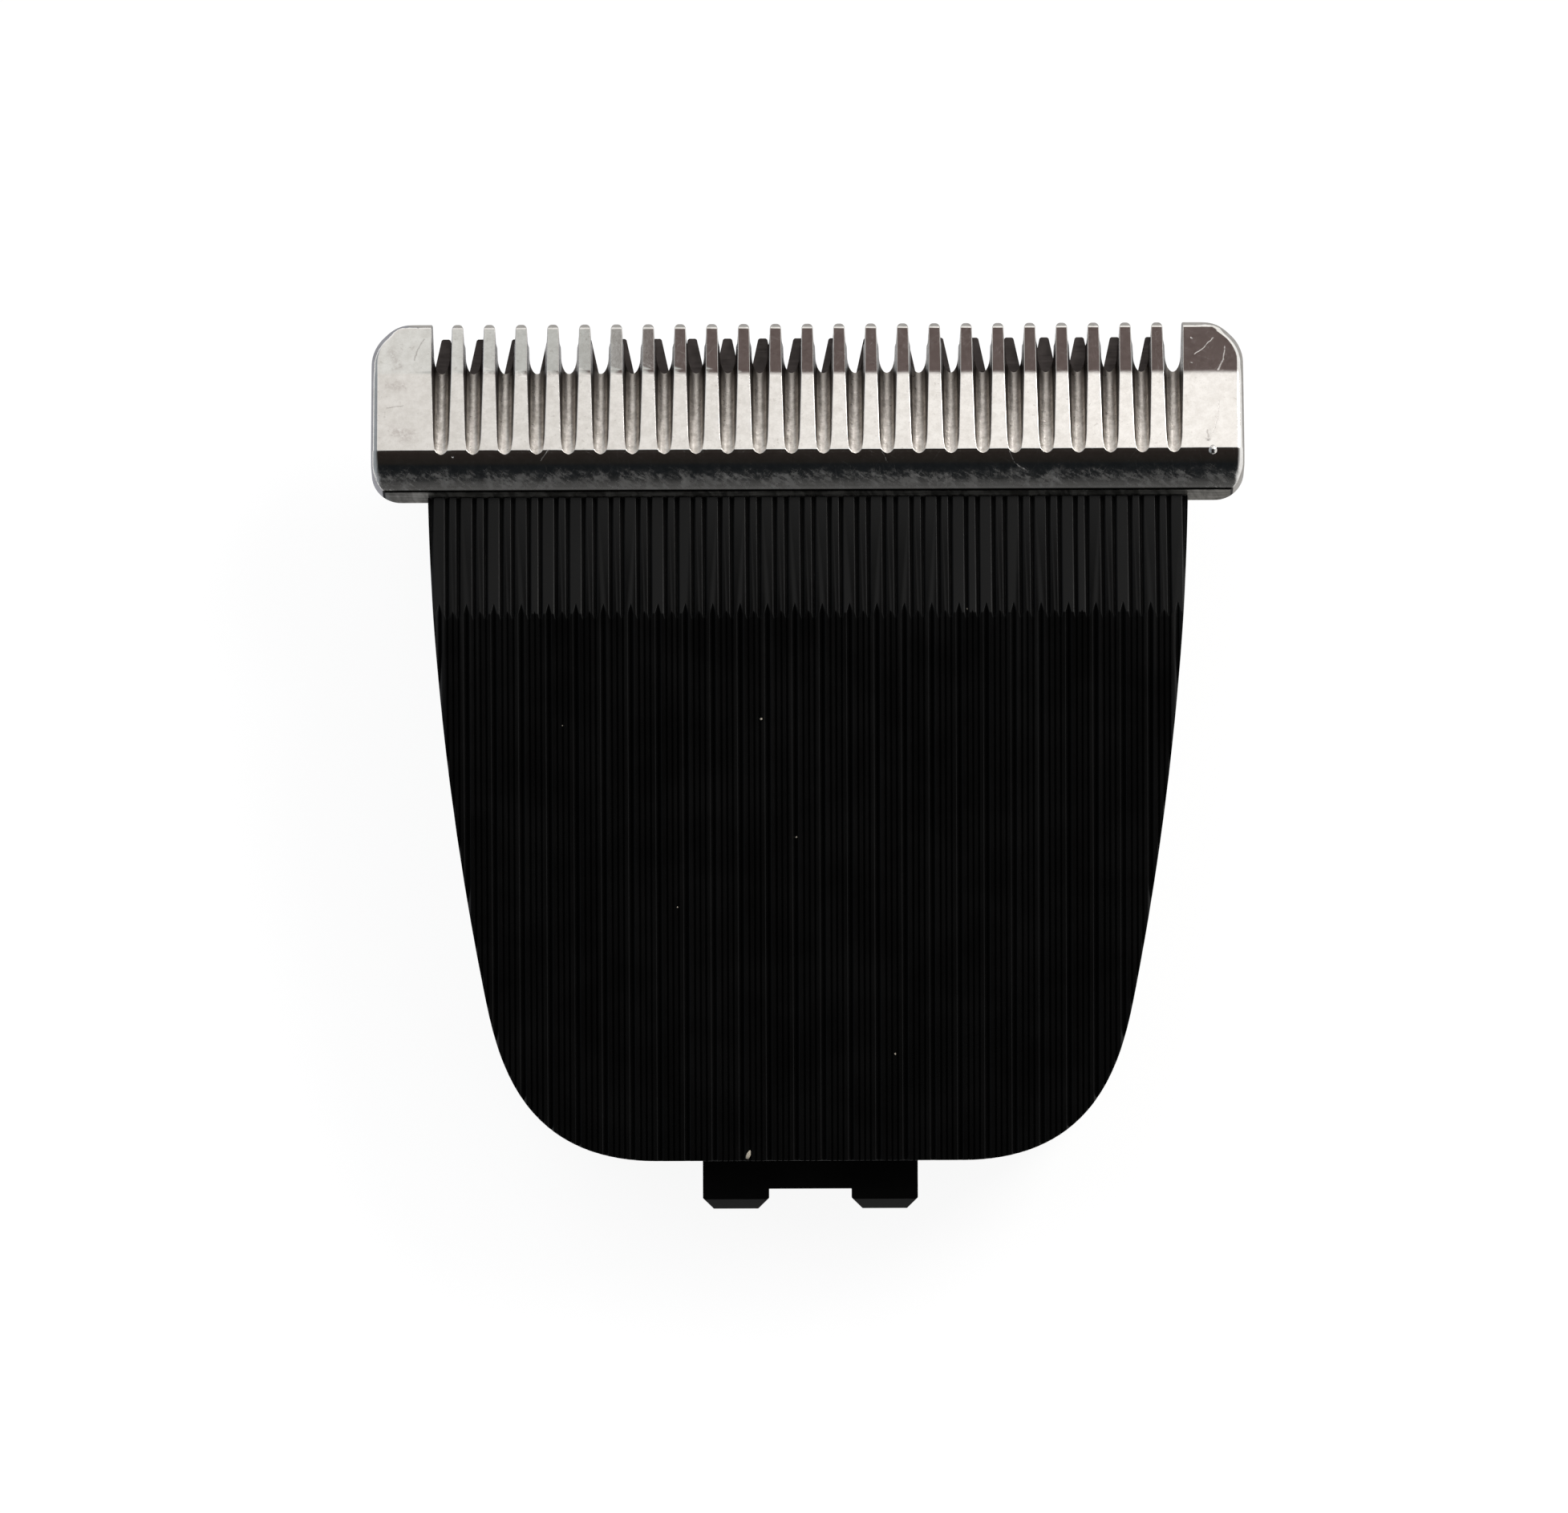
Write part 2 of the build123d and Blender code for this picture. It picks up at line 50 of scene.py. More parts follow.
# Meshes: gap over which corners weld, angle up to which faces join, angle from which edges are rounded
WELD_GAP = 0.0002 * MM
FLAT_ANGLE = math.radians(0.4)
ROUNDED_ANGLE = math.radians(20.0)
ROUNDING_SEGMENTS = 2

# Photograph: its size in pixels, the size of a pixel on the part, where the part's middle is, and its turn
PHOTO_WIDTH = 1955
PHOTO_HEIGHT = 1887
PIXEL = 0.036832 * MM
PHOTO_MIDDLE = (1008.5, 956.1)
PHOTO_TURN = math.radians(0.22)

# Camera: straight above the part
SENSOR = 36.0
LENS = 400.0
SUBJECT_HEIGHT = 7.0 * MM

# Floor: how far it lies below the part
FLOOR_GAP = 0.03 * MM

# Comb, in millimetres: across, along the teeth and up from its back; a hair is the least length that counts
HAIR = 0.0005
COMB_HALF = 20.0
COMB_LENGTH = 8.41
SHOULDER_RADIUS = 2.1
HEEL_RADIUS = 1.35
LIP = (0.21, 1.05)
SEAM_BOTTOM = (0.24, 1.0)
SEAM = (0.27, 1.1)
CREST = (1.92, 2.1)
CREST_SOFTENING = 0.035
BEVEL_BULGE = 0.14
BEVEL_STEPS = 12
FACET_START = (5.74, 1.5)
FACET_SOFTENING = 0.18
FACET_STEPS = 4
TIP = (COMB_LENGTH, 0.62)
TIP_ROUND = 0.5
TIP_STEPS = 8
RIM_ROUND = 0.36
RIM_STEPS = 6
RIM_GROWTH = 0.5
RIM_LEAST = 0.1
RIM_FADE = (7.8, 8.4)
OUTLINE_STEPS = 16
HOLE_PLACES = ((-14.225, 1.92), (14.225, 1.92))
HOLE_RADIUS = 1.02
HOLE_DEPTH = 1.15
HOLE_SEGMENTS = 40
COMB_CREASE = math.radians(35.0)

# Frame of the blade set: tilt, and its origin on the middle of the comb's rear edge
TILT = math.radians(15.0)
comb_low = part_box("comb")[0]
BLADE_ORIGIN = Vector((0.0, comb_low.y, comb_low.z + COMB_LENGTH * MM * math.sin(TILT)))

# Slots between the comb's teeth, in millimetres
TOOTH_COUNT = 23
TOOTH_PITCH = 1.46
SLOT_ROOT = 6.14
SLOT_SLOPE = math.radians(24.8)
SLOT_RADIUS = 0.36
SLOT_DRAFT = math.radians(5.5)
SLOT_STEPS = 12
SLOT_FADE = 0.015
SLOT_END_STEPS = (0.012, 0.02, 0.032, 0.05, 0.075, 0.105, 0.14)
SLOT_STATIONS = (2.0, 2.06, 2.14, 2.25, 2.4, 2.6, 2.9, 3.4, 4.2, 5.0, 6.14, 6.9, 7.4, 7.46, 7.8, 8.6)
MOUTH_ROUND = 0.035
MOUTH_STEPS = 4
MOUTH_END = math.radians(8.0)
MOUTH_OVERRUN = 0.12
MOUTH_SHARE = 0.35
OVERRUN_SHARE = 0.4
CUTTER_RISE = 0.3
TAPER_START = 7.46
TIP_HALF = 0.235
TIP_TAPER = math.radians(5.0)
NOSE_LENGTH = 0.34
NOSE_LEAST = 0.02

# Marks on the comb, as strokes in the photograph's pixels: start, end, and width in millimetres
SCRATCHES = [
    ((1489, 442), (1499, 435), 0.04),
    ((1499, 435), (1512, 421), 0.035),
    ((1527, 432), (1525, 448), 0.05),
    ((1525, 448), (1518, 462), 0.07),
    ((1519, 500), (1517, 522), 0.035),
    ((1517, 522), (1511, 540), 0.04),
    ((675, 576), (684, 563), 0.05),
    ((1258, 564), (1264, 578), 0.035),
    ((1264, 578), (1279, 588), 0.035),
    ((1100, 566), (1106, 577), 0.035),
]
# Dark scratches; the last stroke is painted shade, the shadow on the left side of the nick at the crest
DARK_SCRATCHES_AND_NICK_SHADE = [
    ((517, 450), (521, 436), 0.06),
    ((521, 436), (529, 423), 0.05),
    ((483, 510), (503, 507), 0.045),
    ((1504, 538), (1505, 546), 0.08),
]
NICKS = [
    ((1505, 537), (1505, 547), 0.2),
    ((1485, 421), (1486, 422), 0.035),
    ((1485, 453), (1486, 453), 0.03),
    ((565, 571), (566, 571), 0.05),
]
STAINS = [
    ((494, 538), (508, 543), 0.55),
    ((484, 482), (505, 484), 0.3),
    ((490, 440), (496, 458), 0.4),
    ((590, 468), (700, 466), 0.22),
]

# Specks of dust on the housing: pixel of the photograph, then length and width in millimetres
SPECKS = [
    ((949, 897), 0.17, 0.11),
    ((993, 1044), 0.15, 0.1),
    ((933, 1440), 0.46, 0.2),
    ((845, 1131), 0.1, 0.07),
    ((1116, 1314), 0.11, 0.07),
    ((1205, 760), 0.08, 0.06),
    ((702, 905), 0.08, 0.06),
]
FLAKE_CORNERS = 10

# Bead of metal pushed up on the comb's crest: pixel of the photograph, radius
BEAD = (1510.5, 562.5)
BEAD_RADIUS = 0.2 * MM

# Housing: fine grooves between the deep ones of its lower face, its crease, and how far a wall may lean
RIB_PITCH = 1.252 * MM
FINE_OFFSETS = (-0.258 * MM, 0.0, 0.258 * MM)
FINE_WIDTH = 0.13 * MM
FINE_DEPTH = 0.085 * MM
FINE_POINT = 0.5 * MM
FACE_SLOPE = math.radians(5.0)
CREASE_Y = 7.04 * MM
WALL_LEAN = 0.02
HOUSING_CREASE = math.radians(28.0)


class Tree:
    """Short calls that add nodes to the node tree of a material, a world or a group."""

    def __init__(self, tree):
        self.tree = tree

    def feed(self, socket, value):
        """Links a socket, or sets its plain value."""
        if isinstance(value, bpy.types.NodeSocket):
            self.tree.links.new(value, socket)
        else:
            socket.default_value = value

    def add(self, kind, inputs=None, **settings):
        """New node with its settings made and its inputs fed."""
        node = self.tree.nodes.new("ShaderNode" + kind)
        for name, value in settings.items():
            setattr(node, name, value)
        for name, value in (inputs or {}).items():
            self.feed(node.inputs[name], value)
        return node

    def math(self, operation, first, second=0.0):
        return self.add("Math", {0: first, 1: second}, operation=operation).outputs[0]

    def times(self, first, second):
        return self.math("MULTIPLY", first, second)

    def plus(self, first, second):
        return self.math("ADD", first, second)

    def span(self, value, low, high, start=0.0, end=1.0):
        """Value that goes smoothly from start to end while the input goes from low to high."""
        limits = {"Value": value, "From Min": low, "From Max": high, "To Min": start, "To Max": end}
        return self.add("MapRange", limits, interpolation_type="SMOOTHSTEP").outputs[0]

    def blend(self, factor, first, second):
        """Colour between two colours."""
        return self.add("Mix", {0: factor, 6: first, 7: second}, data_type="RGBA").outputs[2]

    def noise(self, place, scale, detail=2.0, roughness=0.5):
        settings = {"Vector": place, "Scale": scale, "Detail": detail, "Roughness": roughness}
        return self.add("TexNoise", settings).outputs["Fac"]

    def stretched(self, place, scale):
        """Place with each axis scaled by itself, for marks that run one way."""
        return self.add("Mapping", {"Vector": place, "Scale": scale}).outputs[0]

    def turned(self, place, turn, scale):
        """Place turned about the third axis and stretched, for marks that run askew."""
        settings = {"Vector": place, "Rotation": (0, 0, turn)}
        return self.stretched(self.add("Mapping", settings).outputs[0], scale)

    def vector(self, operation, first, second):
        return self.add("VectorMath", {0: first, 1: second}, operation=operation)

    def scaled(self, place, factor):
        return self.add("VectorMath", {0: place, "Scale": factor}, operation="SCALE").outputs[0]

    def ragged(self, place, scale, reach):
        """Place shifted unevenly, so that marks at it get rough edges."""
        shift = self.add("TexNoise", {"Vector": place, "Scale": scale, "Detail": 3.0}).outputs["Color"]
        shift = self.vector("SUBTRACT", shift, (0.5, 0.5, 0.5)).outputs[0]
        return self.vector("ADD", place, self.scaled(shift, reach)).outputs[0]

    def stroke(self, place, start, end, width):
        """Strength of a straight mark: one along its middle, none past its width."""
        run = Vector((end[0] - start[0], end[1] - start[1], 0))
        away = self.vector("SUBTRACT", place, (start[0], start[1], 0)).outputs[0]
        share = self.vector("DOT_PRODUCT", away, run / run.length_squared).outputs["Value"]
        share = self.add("Clamp", {"Value": share}).outputs[0]
        gap = self.vector("DISTANCE", away, self.scaled(run, share)).outputs["Value"]
        return self.span(gap, width, 0.0)

    def strokes(self, place, marks):
        """Strength of the strongest of several strokes on the comb."""
        return self.strongest([
            self.stroke(place, comb_place(start), comb_place(end), width)
            for start, end, width in marks
        ])

    def strongest(self, values):
        """Greatest of several values."""
        result = values[0]
        for value in values[1:]:
            result = self.math("MAXIMUM", result, value)
        return result

    def parts(self, place):
        return self.add("SeparateXYZ", {0: place}).outputs

    def millimetres(self):
        """Place on the part in millimetres."""
        return self.stretched(self.add("TexCoord").outputs["Object"], (1000, 1000, 1000))

    def blade_place(self):
        """Place in the blade set in millimetres: across, along the teeth, up."""
        shift = -BLADE_ORIGIN / MM
        turned = Vector((
            shift.x,
            shift.y * math.cos(TILT) - shift.z * math.sin(TILT),
            shift.y * math.sin(TILT) + shift.z * math.cos(TILT),
        ))
        settings = {
            "Vector": self.add("TexCoord").outputs["Object"],
            "Location": turned,
            "Rotation": (TILT, 0, 0),
            "Scale": (1000, 1000, 1000),
        }
        return self.add("Mapping", settings).outputs[0]

    def bump(self, height, distance, strength=1.0, normal=None):
        inputs = {"Height": height, "Distance": distance, "Strength": strength}
        if normal:
            inputs["Normal"] = normal
        return self.add("Bump", inputs).outputs[0]


def new_material(name):
    """Material, its tree, and its surface shader."""
    material = bpy.data.materials.new(name)
    material.use_nodes = True
    return material, Tree(material.node_tree), material.node_tree.nodes["Principled BSDF"]


def shade(level, warmth=0.0):
    """Grey as a colour, a little warmer or cooler."""
    return (level * (1 + warmth), level, level * (1 - warmth), 1.0)


def photo_place(x, y):
    """Place on the part, across and along, of a pixel of the photograph."""
    across = (x - PHOTO_MIDDLE[0]) * PIXEL
    along = (PHOTO_MIDDLE[1] - y) * PIXEL
    turn_cos = math.cos(PHOTO_TURN)
    turn_sin = math.sin(PHOTO_TURN)
    return (across * turn_cos + along * turn_sin, along * turn_cos - across * turn_sin)


def comb_place(pixel):
    """Place on the comb's outside, across and along the teeth, of a pixel of the photograph."""
    across, forward = photo_place(*pixel)
    away = (forward - BLADE_ORIGIN.y) / MM
    along = away
    for attempt in range(8):
        along = (away - comb_top(along) * math.sin(TILT)) / math.cos(TILT)
    return (across / MM, along)


def welded(node):
    """Shape of a CAD node, with its corners welded and the triangles of one plane joined."""
    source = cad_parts[node].data
    shape = bmesh.new()
    points = [shape.verts.new(vertex.co) for vertex in source.vertices]
    for polygon in source.polygons:
        shape.faces.new([points[index] for index in polygon.vertices])
    bmesh.ops.remove_doubles(shape, verts=shape.verts, dist=WELD_GAP)
    bmesh.ops.dissolve_limit(
        shape,
        angle_limit=FLAT_ANGLE,
        verts=shape.verts,
        edges=shape.edges,
    )
    bmesh.ops.recalc_face_normals(shape, faces=shape.faces)
    return shape


def new_piece(name, shape, materials):
    """Object with the shape's mesh and its materials."""
    mesh = bpy.data.meshes.new(name)
    shape.to_mesh(mesh)
    shape.free()
    for material in materials:
        mesh.materials.append(material)
    mesh.shade_smooth()
    piece = bpy.data.objects.new(name, mesh)
    scene.collection.objects.link(piece)
    return piece


def soften(piece, width):
    """Rounds the edges that carry a weight by the width."""
    rounding = piece.modifiers.new("rounding", "BEVEL")
    rounding.limit_method = "WEIGHT"
    rounding.width = width
    rounding.segments = ROUNDING_SEGMENTS
    rounding.use_clamp_overlap = False
    rounding.harden_normals = True
    rounding.miter_outer = "MITER_ARC"


def apply_modifiers(piece):
    """Makes the piece's modifiers part of its mesh."""
    graph = bpy.context.evaluated_depsgraph_get()
    mesh = bpy.data.meshes.new_from_object(piece.evaluated_get(graph))
    piece.modifiers.clear()
    piece.data = mesh


def weigh_edges(shape):
    """Gives every sharp edge the weight that its rounding takes."""
    weights = shape.edges.layers.float.new("bevel_weight_edge")
    for edge in shape.edges:
        if edge.calc_face_angle(0) > ROUNDED_ANGLE:
            edge[weights] = 1.0


def stand_for(piece, node, body):
    """The piece is shown in place of a CAD node."""
    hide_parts(node)
    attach(piece, body)


def comb_profile():
    """Stations of the comb's outside: lip, bulged bevel, softened crest, flat, facet and rounded tip."""
    stations = [(0.0, 0.0), LIP, SEAM_BOTTOM]
    run = Vector(CREST) - Vector(SEAM)
    side = Vector((-run.y, run.x)).normalized()
    for step in range(BEVEL_STEPS):
        share = step / BEVEL_STEPS
        point = Vector(SEAM) + run * share + side * BEVEL_BULGE * 4 * share * (1 - share)
        stations.append((point.x, point.y))
    fall = (CREST[1] - FACET_START[1]) / (FACET_START[0] - CREST[0])
    last_rise = (run.y - 4 * BEVEL_BULGE * side.y) / (run.x - 4 * BEVEL_BULGE * side.x)
    stations.append((CREST[0] - CREST_SOFTENING, CREST[1] - CREST_SOFTENING * last_rise))
    stations.append((CREST[0], CREST[1] - CREST_SOFTENING * (last_rise + fall) / 4))
    stations.append((CREST[0] + CREST_SOFTENING, CREST[1] - CREST_SOFTENING * fall))
    slope = math.atan2(FACET_START[1] - TIP[1], TIP[0] - FACET_START[0])
    for step in range(FACET_STEPS + 1):
        share = step / FACET_STEPS
        gap = FACET_SOFTENING * (2 * share - 1)
        sag = FACET_SOFTENING * ((1 - share) ** 2 * fall - share ** 2 * math.tan(slope))
        stations.append((FACET_START[0] + gap, FACET_START[1] + sag))
    middle = TIP[0] - TIP_ROUND
    height = TIP[1] + TIP_ROUND * math.tan(slope) - TIP_ROUND / math.cos(slope)
    for step in range(TIP_STEPS + 1):
        angle = slope + (math.pi / 2 - slope) * step / TIP_STEPS
        stations.append((middle + TIP_ROUND * math.sin(angle), height + TIP_ROUND * math.cos(angle)))
    return stations


PROFILE = comb_profile()


def comb_top(along):
    """Height of the comb's outside over its back at a place along the teeth."""
    for start, end in zip(PROFILE, PROFILE[1:]):
        if along <= end[0]:
            share = max((along - start[0]) / (end[0] - start[0]), 0.0)
            return start[1] + (end[1] - start[1]) * share
    return PROFILE[-1][1]


def blade_point(across, along, up):
    """Point of the blade set, given in millimetres, on the part."""
    forward = along * math.cos(TILT) + up * math.sin(TILT)
    height = up * math.cos(TILT) - along * math.sin(TILT)
    return BLADE_ORIGIN + Vector((across, forward, height)) * MM


def outline(inset):
    """Corners of the comb's outline in plan, drawn in by an inset."""
    shoulder = COMB_HALF - SHOULDER_RADIUS
    heel = COMB_HALF - HEEL_RADIUS
    front = COMB_LENGTH - SHOULDER_RADIUS
    centres = (
        (shoulder, front, SHOULDER_RADIUS),
        (-shoulder, front, SHOULDER_RADIUS),
        (-heel, HEEL_RADIUS, HEEL_RADIUS),
        (heel, HEEL_RADIUS, HEEL_RADIUS),
    )
    corners = []
    for quarter, (across, along, radius) in enumerate(centres):
        for step in range(OUTLINE_STEPS + 1):
            angle = (quarter + step / OUTLINE_STEPS) * math.pi / 2
            reach = radius - inset
            corners.append((across + reach * math.cos(angle), along + reach * math.sin(angle)))
    return corners


def edge_gap(across, along):
    """Distance from the comb's outline inwards."""
    in_front = along > COMB_LENGTH / 2
    radius = SHOULDER_RADIUS if in_front else HEEL_RADIUS
    beside = abs(across) - COMB_HALF + radius
    beyond = (along - COMB_LENGTH if in_front else -along) + radius
    if beside > 0 and beyond > 0:
        return radius - math.hypot(beside, beyond)
    return radius - max(beside, beyond)


def rim_drop(across, along):
    """How far the comb's rounded rim lies below its outside, less so at the lip and the tips."""
    growth = min(max((along - SEAM[0]) / RIM_GROWTH, RIM_LEAST), 1.0)
    fade = min(max((RIM_FADE[1] - along) / (RIM_FADE[1] - RIM_FADE[0]), RIM_LEAST), 1.0)
    radius = RIM_ROUND * growth * fade
    inward = min(max(radius - edge_gap(across, along), 0.0), radius)
    return radius - math.sqrt(radius * radius - inward * inward)


def comb_blank():
    """Comb before its slots are cut: a plan cut at each station, raised to the profile and closed below."""
    shape = bmesh.new()
    rings = []
    for step in range(RIM_STEPS + 1):
        inset = RIM_ROUND * (1 - math.cos(step / RIM_STEPS * math.pi / 2))
        rings.append([shape.verts.new((across, along, 0)) for across, along in outline(inset)])
    for outer, inner in zip(rings, rings[1:]):
        for i in range(len(outer)):
            shape.faces.new((outer[i - 1], outer[i], inner[i], inner[i - 1]))
    shape.faces.new(rings[-1])
    for along, up in PROFILE[1:-1]:
        everything = shape.verts[:] + shape.edges[:] + shape.faces[:]
        bmesh.ops.bisect_plane(shape, geom=everything, dist=HAIR, plane_co=(0, along, 0), plane_no=(0, 1, 0))
    for vertex in shape.verts:
        across, along, up = vertex.co
        vertex.co.z = max(comb_top(along) - rim_drop(across, along), 0.0)
    border = [edge for edge in shape.edges if edge.is_boundary]
    walls = bmesh.ops.extrude_edge_only(shape, edges=border)["geom"]
    for vertex in walls:
        if isinstance(vertex, bmesh.types.BMVert):
            vertex.co.z = 0.0
    bmesh.ops.remove_doubles(shape, verts=shape.verts, dist=HAIR)
    bmesh.ops.holes_fill(shape, edges=[edge for edge in shape.edges if edge.is_boundary], sides=0)
    return shape


def tooth_half(along):
    """Half of the width that a tooth keeps near its tip."""
    straight = TIP_HALF + (COMB_LENGTH - along) * math.tan(TIP_TAPER)
    past = max((along - COMB_LENGTH) / NOSE_LENGTH + 1, 0.0)
    return max(straight * math.sqrt(max(1 - past ** 2, 0.0)), NOSE_LEAST)


def slot_depth(along):
    """Depth of a slot square to its floor, which is less than nothing behind its end."""
    return (comb_top(along) - (SLOT_ROOT - along) * math.tan(SLOT_SLOPE)) * math.cos(SLOT_SLOPE)


def slot_end():
    """Place along the teeth where the slots run out on the bevel."""
    along = CREST[0]
    while slot_depth(along) > -SLOT_FADE:
        along -= HAIR
    return along


def slot_half(along, trimmed):
    """Half of a slot's section: round bottom, drafted side, softened mouth and a way out above the comb."""
    top = comb_top(along)
    squash = math.cos(SLOT_SLOPE)
    deep = slot_depth(along)
    if deep < SLOT_FADE:
        deep = (deep + SLOT_FADE) ** 2 / (4 * SLOT_FADE)
    tooth = tooth_half(along) if trimmed else TOOTH_PITCH / 2
    bend = min(MOUTH_ROUND, tooth * MOUTH_SHARE)
    bend_v = deep - bend
    touch_v = SLOT_RADIUS * (1 - math.sin(SLOT_DRAFT))
    touch_u = SLOT_RADIUS * math.cos(SLOT_DRAFT)
    least_u = TOOTH_PITCH / 2 - tooth
    points = []
    if bend_v > SLOT_RADIUS - (SLOT_RADIUS + bend) * math.sin(SLOT_DRAFT):
        lean = math.pi / 2 - SLOT_DRAFT
        bend_u = touch_u + (bend_v - touch_v) * math.tan(SLOT_DRAFT) + bend / math.cos(SLOT_DRAFT)
        bend_u = max(bend_u, least_u + bend)
        turns = [lean * step / (SLOT_STEPS - 1) for step in range(SLOT_STEPS)]
        points += [(SLOT_RADIUS * math.sin(turn), SLOT_RADIUS * (1 - math.cos(turn))) for turn in turns]
        points.append((max(touch_u, least_u), touch_v + MOUTH_ROUND))
    else:
        bend_u = math.sqrt((SLOT_RADIUS + bend) ** 2 - (SLOT_RADIUS - bend_v) ** 2)
        lean = math.atan2(bend_u, SLOT_RADIUS - bend_v)
        turns = [lean * step / (SLOT_STEPS + 1) for step in range(SLOT_STEPS + 1)]
        points += [(SLOT_RADIUS * math.sin(turn), SLOT_RADIUS * (1 - math.cos(turn))) for turn in turns]
    last = min(MOUTH_END, lean / 3)
    for step in range(MOUTH_STEPS + 1):
        turn = lean + (last - lean) * step / MOUTH_STEPS
        points.append((bend_u - bend * math.sin(turn), bend_v + bend * math.cos(turn)))
    overrun = min(MOUTH_OVERRUN, tooth * OVERRUN_SHARE)
    points.append((points[-1][0] + overrun, points[-1][1] + overrun * math.tan(last)))
    points.append((points[-1][0], deep + CUTTER_RISE))
    return [(u, top - (deep - v) / squash) for u, v in points]


def slot_cutter():
    """What is cut from the comb: the slots, with the room between the tooth tips, and two screw holes."""
    shape = bmesh.new()
    end = slot_end()
    stations = [end + step for step in SLOT_END_STEPS] + list(SLOT_STATIONS)
    stations = sorted(stations + [along for along, up in PROFILE if along > end + SLOT_END_STEPS[0]])
    ground = SLOT_STEPS + 1
    for slot in range(TOOTH_COUNT + 1):
        middle = (slot - TOOTH_COUNT / 2) * TOOTH_PITCH
        rows = []
        for along in stations:
            tapered = along >= TAPER_START
            left = slot_half(along, tapered and slot > 0)
            right = slot_half(along, tapered and slot < TOOTH_COUNT)
            section = [(-u, up) for u, up in reversed(left)] + right[1:]
            rows.append([shape.verts.new((middle + u, along, up)) for u, up in section])
        count = len(rows[0])
        deepest = count // 2
        for near, far in zip(rows, rows[1:]):
            for i in range(count):
                j = (i + 1) % count
                face = shape.faces.new((near[i], near[j], far[j], far[i]))
                face.material_index = int(max(abs(i - deepest), abs(j - deepest)) <= ground)
        shape.faces.new(rows[0])
        shape.faces.new(rows[-1])
    for across, along in HOLE_PLACES:
        place = Matrix.Translation((across, along, 0))
        bmesh.ops.create_cone(
            shape,
            cap_ends=True,
            segments=HOLE_SEGMENTS,
            radius1=HOLE_RADIUS,
            radius2=HOLE_RADIUS,
            depth=HOLE_DEPTH * 2,
            matrix=place,
        )
    return shape


def set_in_blade(shape):
    """Moves a shape that was drawn in the blade set's millimetres to its place on the part."""
    for vertex in shape.verts:
        vertex.co = blade_point(*vertex.co)
    bmesh.ops.recalc_face_normals(shape, faces=shape.faces)


def cut_away(piece, tool):
    """Cuts one piece with another, which is then removed."""
    cut = piece.modifiers.new("cut", "BOOLEAN")
    cut.operation = "DIFFERENCE"
    cut.solver = "EXACT"
    cut.object = tool
    apply_modifiers(piece)
    bpy.data.objects.remove(tool)


def shade_evenly(piece):
    """Lets the large faces of a piece set its shading, so that flat faces look flat."""
    shading = piece.modifiers.new("even_shading", "WEIGHTED_NORMAL")
    shading.keep_sharp = True
    shading.weight = 80


def comb():
    """Comb with rounded rims, slot mouths and tooth tips, polished outside and ground between its teeth."""
    steels = [polished_steel(), ground_steel()]
    blank = comb_blank()
    set_in_blade(blank)
    piece = new_piece("comb_polished", blank, steels)
    slots = slot_cutter()
    set_in_blade(slots)
    cut_away(piece, new_piece("slot_cutter", slots, steels))
    piece.data.set_sharp_from_angle(angle=COMB_CREASE)
    shade_evenly(piece)
    stand_for(piece, "comb", "carrier")
    return piece


def simple_piece(node, name, body, material, width):
    """CAD node with all its sharp edges softened alike."""
    shape = welded(node)
    weigh_edges(shape)
    piece = new_piece(name, shape, [material])
    soften(piece, width)
    stand_for(piece, node, body)


